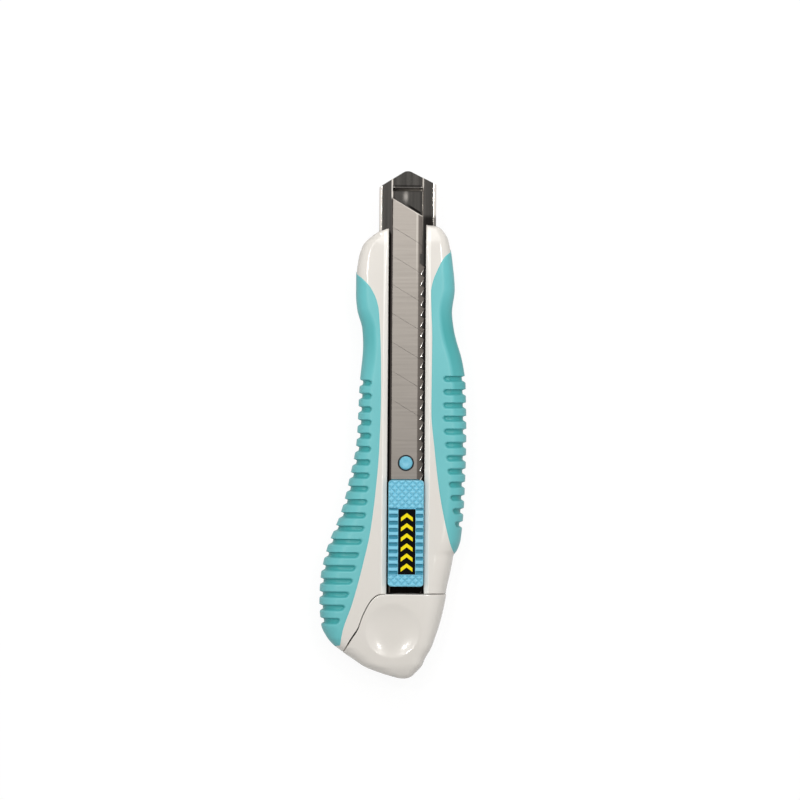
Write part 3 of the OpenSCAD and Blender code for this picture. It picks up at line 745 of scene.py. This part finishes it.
casing = {
    "rear": -50, "front": 60,  # between these the stations lie straight across, as (from, to, step)
    "straight": ((-50, -38, 0.4), (-38, 44, 0.8), (44, 60.01, 0.32)),
    "rearShares": np.append(np.linspace(0, 0.955, 76)[1:], [0.97, 0.985]),
    "frontShares": np.linspace(0, 1, 30)[1:-3],
    # the rounded ends, as (short of the end's line, depth)
    "rearTrims": ((1.1, 2.2), (0, 2.2), (0, 0.7), (0, 0.22), (0.07, 0.07), (0.22, 0)),
    "frontTrims": ((0.75, 0), (0.45, 0.06), (0.2, 0.2), (0.05, 0.42), (0, 0.7)),
    # across: points on the flat face and on the rounding, and places on the side wall
    "face": 30, "rounding": 34, "wall": (2.2, 2.45, 2.7, 2.9, 2.97, 3),
    "sharp": 35,
}
slotCut = {"half": 6.5, "foot": 17.4, "leastChamfer": 0.35, "lip": 0.25, "ceiling": 15.7, "pocket": 10.05,
           "floor": 11.5, "middle": 3.0}
socket = {"half": 9.6, "floor": 2.3, "end": -45.3}


def casingRings(face):
    # both halves of a casing's skin, and the function that gives its inside the same stations
    rear, front = casing["rear"], casing["front"]
    straight = np.concatenate([np.arange(*span) for span in casing["straight"]])
    stations = [(rear, share) for share in casing["rearShares"][::-1]]
    stations += [(y, 0) for y in straight] + [(front, share) for share in casing["frontShares"]]
    rearTrims, frontTrims = casing["rearTrims"], casing["frontTrims"]
    rows = [(rear, 1, -short, depth) for short, depth in rearTrims]
    rows += [(y, share, 0, 0) for y, share in stations]
    rows += [(front, 1, short, depth) for short, depth in frontTrims]
    base, share, trim, depth = [part[:, None] for part in np.array(rows, float).T]

    def target(x):
        return np.where(base < 0, seamLine(x), noseLine(x)) - trim

    # columns: 0 at the slot or the centre line, then as u
    rounding = np.linspace(1, 2, casing["rounding"])[1:]
    column = np.concatenate([np.linspace(0, 1, casing["face"]), rounding, casing["wall"]])[None, :]

    def half(side):
        def shape(y):
            if face < 0:
                return column + 0 * y
            level = handle["frontFace"](y)
            foot = np.minimum(slotCut["foot"], level - slotCut["leastChamfer"])
            lip = (slotCut["half"] + level - foot + slotCut["lip"]) / (reach(side, y) - edgeWidth(side, y))
            return np.where(column < 1, mix(lip, 1, column), column)

        def place(y):
            return skinPoint(side, face, y, shape(y), 0)[..., 0]

        y = along(base + 0 * column, share + 0 * column, target, place)
        u = shape(y)
        # sunk below the soft grip, a little inside the grip's edge
        edge = np.maximum(gripU(side, y - skin["inside"]), gripU(side, y + skin["inside"]))
        cover = ease((u - np.maximum(gripU(side, y), edge)) / skin["tuckU"] - 1)
        sunk = skin["clear"] + skin["thick"] * gripFade(side, y)
        under = cover * sunk + (1 - cover) * handle["wallStep"] * (column == 3)
        return skinPoint(side, face, y, u, np.maximum(depth, under))

    def inner(x, z):
        x = np.broadcast_to(np.asarray(x, float), (len(base), len(x)))
        return np.stack([x, base + share * (target(x) - base), np.full(x.shape, z)], axis=-1)

    return half(-1)[:, ::-1], half(1), inner


def bend(start, corner, end, t):
    return (1 - t) ** 2 * start + 2 * t * (1 - t) * corner + t ** 2 * end


def slotWall(rows, side, inner):
    # from the face down the chamfer and the slot's wall, and round the sleeve's pocket
    cut = slotCut
    start, y, top = (rows[:, -1] if side < 0 else rows[:, 0]).T
    level = handle["frontFace"](y)
    foot = np.minimum(cut["foot"], level - cut["leastChamfer"])
    edge = cut["half"] + level - foot
    half, ceiling = cut["half"], cut["ceiling"]
    points = [(bend(np.abs(start), edge, edge - 0.2, t), bend(top, top, top - 0.2, t))
              for t in (0.3, 0.6, 1.0)]
    points += [(bend(half + 0.15, half, half, t), bend(foot + 0.15, foot, foot - 0.15, t))
               for t in (0.0, 0.5, 1.0)]
    points += [(half, ceiling + 0.12), (half + 0.1, ceiling)]
    points += [(cut["pocket"], ceiling), (cut["pocket"], cut["floor"]), (cut["middle"], cut["floor"])]
    wall = []
    for index, (x, z) in enumerate(points):
        # the chamfer ends where the face does, and the walls below it where their own line does
        at = y if index < 6 else inner([side * np.max(x)], 0)[:, 0, 1]
        wall.append(np.stack(np.broadcast_arrays(side * x, at, z), axis=-1))
    wall = np.stack(wall, axis=1)
    return wall if side < 0 else wall[:, ::-1]


def frontCasing():
    left, right, inner = casingRings(1)
    foot = inner([10, 3, -3, -10], handle["partZ"])
    rings = np.concatenate([left, slotWall(left, -1, inner), slotWall(right, 1, inner), right, foot], axis=1)
    piece = rolledSkin("casingFront", rings, casing["sharp"])
    settle(piece, "handle", "white_plastic", "front_casing")


def rearCasing():
    # behind the socket's end the parting plane opens into the socket of the cap's tongue
    left, right, inner = casingRings(-1)
    channel = inner([socket["half"], socket["half"], 0, -socket["half"], -socket["half"]], handle["partZ"])
    floor = channel[:, 1:4]
    floor[..., 2] = np.where(floor[..., 1] < socket["end"], socket["floor"], handle["partZ"])
    piece = rolledSkin("casingRear", np.concatenate([left, right, channel], axis=1), casing["sharp"])
    screwPockets(piece)
    settle(piece, "handle", "white_plastic", "rear_casing")


screw = {
    "places": ((-12.9, 57.5), (12.2, 61.6), (-12.7, -54), (12.4, -51.5)),
    "pocket": 1.95, "seat": 5.2, "start": -2,
}


def screwPockets(piece):
    # four plain counterbores, cut together
    depth, middle = screw["seat"] - screw["start"], (screw["seat"] + screw["start"]) / 2
    cutters = []
    for x, y in screw["places"]:
        bpy.ops.mesh.primitive_cylinder_add(vertices=48, radius=screw["pocket"] * mm, depth=depth * mm,
                                            location=(x * mm, y * mm, middle * mm))
        cutters.append(bpy.context.object)
    makeActive(cutters[0])
    for cutter in cutters:
        cutter.select_set(True)
    bpy.ops.object.join()
    hole = piece.modifiers.new("pockets", "BOOLEAN")
    hole.object = cutters[0]
    hole.solver = "EXACT"
    makeActive(piece)
    bpy.ops.object.modifier_apply(modifier=hole.name)
    bpy.data.objects.remove(cutters[0])
    bpy.ops.object.shade_smooth_by_angle(angle=radians(casing["sharp"]))


def gripStations(grip):
    (low, high), tips, first = grip["ends"], np.array(skin["tips"]), skin["stepFrom"]
    plain = np.arange(low + first, high - first, skin["step"])
    return np.concatenate([low + tips, plain, (high - tips)[::-1]])


def gripSkin(name, grip, face, node):
    side = grip["side"]
    y = gripStations(grip)[:, None]
    start, fade = gripU(side, y), gripFade(side, y)
    # each station's points are spaced by length, close together over the rim
    fine = mix(start, 3, np.linspace(0, 1, skin["traced"])[None, :])
    trace = skinPoint(side, face, y, fine, 0)
    steps = np.linalg.norm(np.diff(trace, axis=1), axis=-1)
    length = np.concatenate([np.zeros((len(y), 1)), np.cumsum(steps, axis=1)], axis=1)
    whole = length[:, -1:]
    rim = np.array(skin["rim"])[None, :] * np.minimum(1, whole / skin["rimFull"])
    rest = mix(rim[:, -1:], whole, np.linspace(0, 1, skin["across"])[None, 1:])
    s = np.concatenate([rim, rest], axis=1)
    u = np.stack([np.interp(s[i], length[i], fine[i]) for i in range(len(y))])
    # the skin stands proud of the casing behind a rounded rim
    rimWidth = skin["rimWidth"] * np.minimum(1, whole / skin["rimFull"])
    lift = fade * mix(-skin["start"], skin["proud"], np.sin(pi / 2 * np.clip(s / rimWidth, 0, 1)))
    # cross grooves with rounded inner ends
    innerU = skinU(side, y, grip["edge"](y) + grip["margin"](y))[:, 0]
    inner = np.array([np.interp(innerU[i], fine[i], length[i]) for i in range(len(y))])[:, None]
    pitch = skin["ribPitch"]
    halfWidth = (pitch - skin["ribCrest"]) / 2
    cell = np.floor((y - grip["firstRib"]) / pitch)
    ribbed = (cell >= 0) & (cell < grip["grooves"])
    v = y - (grip["firstRib"] + cell * pitch + skin["ribCrest"] + halfWidth)
    spread = np.hypot(v, np.maximum(halfWidth - (s - inner), 0))
    flank = np.where(v > 0, skin["flanks"][1], skin["flanks"][0])
    groove = ease((halfWidth + skin["grooveSoft"] - spread) / flank) * ribbed * fade
    lift = lift - skin["grooveDepth"] * groove
    lift[:, -1] -= handle["wallStep"] * fade[:, 0]
    outer = skinPoint(side, face, y, u, -lift)
    back = mix(3, start, np.linspace(0, 1, skin["under"])[None, :])
    under = skinPoint(side, face, y, back, skin["thick"] * fade)
    # the grooves and the finger hollow get a painted shade, a darker tone that the groove attribute carries
    hollowShade = grip["shade"] * np.clip(handle["hollows"][side][0](y), 0, 1) * ease((u - 1) / skin["shadeU"])
    paintedShade = np.maximum(groove, hollowShade * (face > 0))
    paintedShade = np.concatenate([paintedShade, 0 * under[..., 0]], axis=1)
    piece = rolledSkin(name, np.concatenate([outer, under], axis=1), 60, paintedShade)
    settle(piece, "handle", "teal_rubber", node)


dish = {
    "across": -4.2, "along": -71.8, "radius": 9.4, "depth": 1.4, "power": 2.7, "soft": 0.09,
    "limit": 1.4, "rest": 0.005,
}


def dishDrop(x, y):
    r = np.hypot(x - dish["across"], y - dish["along"]) / dish["radius"]
    depth = dish["depth"] * (1 - r ** dish["power"])
    soft = (depth + np.sqrt(depth ** 2 + 4 * dish["soft"] ** 2)) / 2
    return np.where(r < dish["limit"], soft - dish["rest"], 0)


cap = {
    "end": -88.5, "proud": 0.2, "wall": 2.0,
    # shares of the way from the end to the seam, the rim as (short of it, depth), the tip as (share, depth)
    "innerShares": (0.1, 0.16, 0.3, 0.5, 0.75),
    "rim": ((0.1, 2.0), (0, 2.0), (0, 1.0), (0, 0.25), (0.03, 0.05), (0.14, -0.13), (0.32, -0.2)),
    "outerShares": np.linspace(0.98, 0.02, 74),
    "tip": ((0.008, -0.2), (0.003, -0.05), (0, 0.2)),
    "dishFlat": (0.75, 40), "restFlat": 8, "rightFlat": 18, "rounding": 15,
    "wallU": (2, 2.4, 2.8, 2.97, 3),
}


def capQuarter(side, face):
    # a quarter of the cap, from the inside over the rim and on to the end
    rows = [(share, 0, cap["wall"]) for share in cap["innerShares"]]
    rows += [(1, short, depth) for short, depth in cap["rim"]]
    rows += [(share, 0, -cap["proud"]) for share in cap["outerShares"]]
    rows += [(share, 0, depth) for share, depth in cap["tip"]]
    share, short, depth = [part[:, None] for part in np.array(rows, float).T]
    flat = np.linspace(0, 1, cap["rightFlat"], endpoint=False)
    if side < 0:
        # closer together over the dish
        end, count = cap["dishFlat"]
        rest = np.linspace(end, 1, cap["restFlat"], endpoint=False)
        flat = np.append(np.linspace(0, end, count, endpoint=False), rest)
    u = np.concatenate([flat, np.linspace(1, 2, cap["rounding"], endpoint=False), cap["wallU"]])[None, :]
    y = along(cap["end"] + 0 * share * u, share + 0 * u, lambda x: seamLine(x) - seamGap(x) - short,
              lambda p: skinPoint(side, face, p, u, 0)[..., 0])
    outside = depth < 0.5
    made = skinPoint(side, face, y, u, depth + np.where(outside & (u >= 3), handle["wallStep"], 0))
    made[..., 2] -= np.where(outside, face * dishDrop(made[..., 0], made[..., 1]), 0)
    return made


def endCap():
    front, back = capQuarter(1, 1), capQuarter(1, -1)[:, -2::-1]
    leftBack, leftFront = capQuarter(-1, -1)[:, 1:], capQuarter(-1, 1)[:, -2:0:-1]
    rings = np.concatenate([front, back, leftBack, leftFront], axis=1)
    piece = rolledSkin("capShell", rings, casing["sharp"])
    settle(piece, "cap", "white_plastic", "end_cap")


tongue = {"half": 9.25, "from": -72.0, "to": -45.7, "low": 2.45, "high": 9.65, "wall": 1.2, "round": 0.25}


def capTongue():
    # a flat tube, open at both ends
    deselectAll()
    low, high, start, end = [tongue[key] for key in ("low", "high", "from", "to")]
    bpy.ops.mesh.primitive_cube_add(size=1, location=(0, (start + end) / 2 * mm, (low + high) / 2 * mm),
                                    scale=(2 * tongue["half"] * mm, (end - start) * mm, (high - low) * mm))
    piece = bpy.context.object
    piece.name = "capTongue"
    bpy.ops.object.transform_apply(location=True, rotation=True, scale=True)
    bpy.ops.object.mode_set(mode="EDIT")
    bpy.ops.mesh.select_mode(type="FACE")
    bpy.ops.mesh.select_all(action="DESELECT")
    bpy.ops.object.mode_set(mode="OBJECT")
    for face in piece.data.polygons:
        face.select = abs(face.normal.y) > 0.9
    bpy.ops.object.mode_set(mode="EDIT")
    bpy.ops.mesh.inset(thickness=tongue["wall"] * mm)
    bpy.ops.mesh.bridge_edge_loops()
    bpy.ops.object.mode_set(mode="OBJECT")
    roundEdges(piece, tongue["round"])
    settle(piece, "cap", "white_plastic", "end_cap")


def roundEdges(piece, width, where=None, smooth=35):
    # rounds the edges that are sharp enough, or only those at the places that the test picks
    makeActive(piece)
    edge = piece.modifiers.new("edges", "BEVEL")
    edge.width = width * mm
    edge.segments = 2
    edge.use_clamp_overlap = where is None
    edge.limit_method = "ANGLE" if where is None else "WEIGHT"
    edge.angle_limit = radians(28)
    if where:
        corners = np.array([vertex.co for vertex in piece.data.vertices]) / mm
        weight = piece.data.attributes.new("bevel_weight_edge", "FLOAT", "EDGE")
        for line in piece.data.edges:
            first, last = (corners[v] for v in line.vertices)
            weight.data[line.index].value = float(where(first, last))
    bpy.ops.object.modifier_apply(modifier=edge.name)
    bpy.ops.object.shade_smooth_by_angle(angle=radians(smooth))
    facing = piece.modifiers.new("facing", "WEIGHTED_NORMAL")
    facing.keep_sharp = True
    bpy.ops.object.modifier_apply(modifier=facing.name)


def softened(node, name, body, slot, width, where=None, smooth=35):
    # a rounded copy of a solid that is already right
    makeActive(nodes[node])
    bpy.ops.object.duplicate()
    piece = bpy.context.object
    piece.name = name
    piece.parent = None
    bpy.ops.object.mode_set(mode="EDIT")
    bpy.ops.mesh.select_all(action="SELECT")
    bpy.ops.mesh.remove_doubles(threshold=weld)
    bpy.ops.mesh.dissolve_limited(angle_limit=radians(0.8))
    bpy.ops.object.mode_set(mode="OBJECT")
    roundEdges(piece, width, where, smooth)
    settle(piece, body, slot, node)


steelEdges = {
    "lipZ": 15, "lipX": 8.7, "longerThan": 0.3, "ratchetEnd": 62, "slanted": 0.05, "straight": 0.05,
    "bladeZ": 14.7, "bladeY": 62, "frontDrop": 2,
}


def lipEdges(first, last):
    # the inner edges of the sleeve's lips and the long flanks of the ratchet
    e, run = steelEdges, last - first
    above = min(first[2], last[2]) > e["lipZ"] and max(abs(first[0]), abs(last[0])) < e["lipX"]
    ratchet = first[0] > 0 and max(first[1], last[1]) < e["ratchetEnd"]
    wanted = run[0] * run[1] > e["slanted"] if ratchet else abs(run[0]) < e["straight"]
    return above and np.linalg.norm(run) > e["longerThan"] and wanted


def bladeEdges(first, last):
    # the slanted front edge of the blade
    e = steelEdges
    ahead = min(first[2], last[2]) > e["bladeZ"] and min(first[1], last[1]) > e["bladeY"]
    return ahead and abs(first[1] - last[1]) > e["frontDrop"]


slider = {
    "middle": 0.18, "half": 6.18, "front": -19.3, "rear": -56.3, "top": 20.5, "base": 15.75,
    "ceiling": 18.25, "wall": 1.4, "corner": 1.2, "edge": 0.7,
    "edgeSteps": (0, 0.04, 0.1, 0.18, 0.28, 0.4, 0.54), "step": 0.13,
    "inlayX": (-2.5, 3.5), "inlayY": (-52.1, -29.3), "inlayDepth": 0.55,
    "rimFlat": 0.15, "rimFade": 0.35, "inlayFlat": 0.1, "inlayFade": 0.25,  # plain borders
    "knurlPitch": 2.47, "knurlDepth": 0.42, "knurlFlank": 0.34,
    "ribs": 9.2, "firstRib": 0.6, "ribDepth": 0.85, "ribShift": 0.35, "ribFlank": 0.9,
}


def sliderLevel(x, y, inset):
    # height of the slider's face, with its rim, diamond knurl, cross ribs and the seat of the inlay
    s = slider
    (left, right), (rear, front) = s["inlayX"], s["inlayY"]
    rim = s["edge"] - np.sqrt(np.maximum(s["edge"] ** 2 - np.maximum(s["edge"] - inset, 0) ** 2, 0))
    outside = np.maximum(np.maximum(left - x, x - right), np.maximum(rear - y, y - front))
    seat = s["inlayDepth"] * (outside < 0)
    clear = ease((inset - s["rimFlat"]) / s["rimFade"]) * ease((outside - s["inlayFlat"]) / s["inlayFade"])
    across, back = (x + y) / s["knurlPitch"], (x - y) / s["knurlPitch"]
    line = np.minimum(np.abs(across - np.rint(across)), np.abs(back - np.rint(back)))
    knurl = s["knurlDepth"] * (1 - ease(line / s["knurlFlank"]))
    ends = (y > front + s["inlayFade"]) | (y < rear - s["inlayFade"])
    phase = (y - rear - s["firstRib"]) * s["ribs"] / (front - rear)
    rib = s["ribDepth"] * ease((np.cos(2 * pi * phase) + s["ribShift"]) / s["ribFlank"])
    return s["top"] - rim - seat - clear * np.where(ends, knurl, rib)


def sliderLines(low, high, cuts):
    # grid lines, close together over the rim and doubled where the inlay's seat is cut
    s = slider
    edge, cuts = np.array(s["edgeSteps"]), np.array(cuts)
    inner = np.arange(low + s["edge"], high - s["edge"] + 0.05, s["step"])
    inner = inner[np.min(np.abs(inner[:, None] - cuts), axis=1) > s["step"] * 0.4]
    return np.sort(np.concatenate([low + edge, inner, cuts - 0.01, cuts + 0.01, high - edge]))


def thumbSlider():
    s = slider
    xs = sliderLines(s["middle"] - s["half"], s["middle"] + s["half"], s["inlayX"])
    ys = sliderLines(s["rear"], s["front"], s["inlayY"])
    piece, column, row = addGrid("thumbPad", len(xs) - 1, len(ys) - 1)
    # the corners are rounded by drawing the points in
    middle, halfY, r = (s["front"] + s["rear"]) / 2, (s["front"] - s["rear"]) / 2, s["corner"]
    x, y = xs[column] - s["middle"], ys[row]
    dx, dy = np.abs(x) - (s["half"] - r), np.abs(y - middle) - (halfY - r)
    corner = (dx > 0) & (dy > 0)
    shrink = np.where(corner, np.maximum(dx, dy) / np.maximum(np.hypot(dx, dy), 1e-9), 1)
    inset = r - np.maximum(dx, dy)
    px = s["middle"] + np.where(corner, np.sign(x) * (s["half"] - r + dx * shrink), x)
    py = np.where(corner, middle + np.sign(y - middle) * (halfY - r + dy * shrink), y)
    z = sliderLevel(px, py, np.maximum(inset, 0))
    piece.data.vertices.foreach_set("co", (np.stack([px, py, z], axis=-1) * mm).ravel())
    piece.data.update()
    # the rim goes down to the base, and the underside is hollowed out
    bpy.ops.object.mode_set(mode="EDIT")
    bpy.ops.mesh.select_mode(type="EDGE")
    bpy.ops.mesh.select_all(action="DESELECT")
    bpy.ops.mesh.select_non_manifold()
    bpy.ops.mesh.extrude_region_move(TRANSFORM_OT_translate={"value": (0, 0, -1 * mm)})
    bpy.ops.transform.resize(value=(1, 1, 0), center_override=(0, 0, s["base"] * mm))
    bpy.ops.mesh.edge_face_add()
    bpy.ops.mesh.select_mode(type="FACE")
    bpy.ops.mesh.inset(thickness=s["wall"] * mm)
    rise = (s["ceiling"] - s["base"]) * mm
    bpy.ops.mesh.extrude_region_move(TRANSFORM_OT_translate={"value": (0, 0, rise)})
    bpy.ops.mesh.select_all(action="SELECT")
    bpy.ops.mesh.normals_make_consistent(inside=False)
    bpy.ops.object.mode_set(mode="OBJECT")
    bpy.ops.object.shade_smooth_by_angle(angle=radians(50))
    settle(piece, "thumb", "blue_plastic", "thumb_slider")


frontCasing()
rearCasing()
print("casings ready")
for grip, kind in ((palmGrip, "palm"), (fingerGrip, "finger")):
    gripSkin(kind + "SkinFront", grip, 1, kind + "_grip_front")
    gripSkin(kind + "SkinRear", grip, -1, kind + "_grip_rear")
print("soft grips ready")
endCap()
capTongue()
print("end cap ready")
thumbSlider()
softened("slider_inlay", "padInlay", "thumb", "black_plastic", 0.1)
print("thumb slider ready")
softened("blade_sleeve", "steelSleeve", "handle", "dark_steel", 0.55, lipEdges, 20)
softened("blade", "snapBlade", "blade_group", "blade_steel", 0.2, bladeEdges, 8)
softened("blade_carrier", "bladeCarrier", "blade_group", "blue_plastic", 0.12)
softened("lock_spring", "lockSpring", "blade_group", "spring_steel", 0.06)
softened("casing_screws", "casingScrews", "handle", "screw_steel", 0.12)
print("steel and carrier ready")
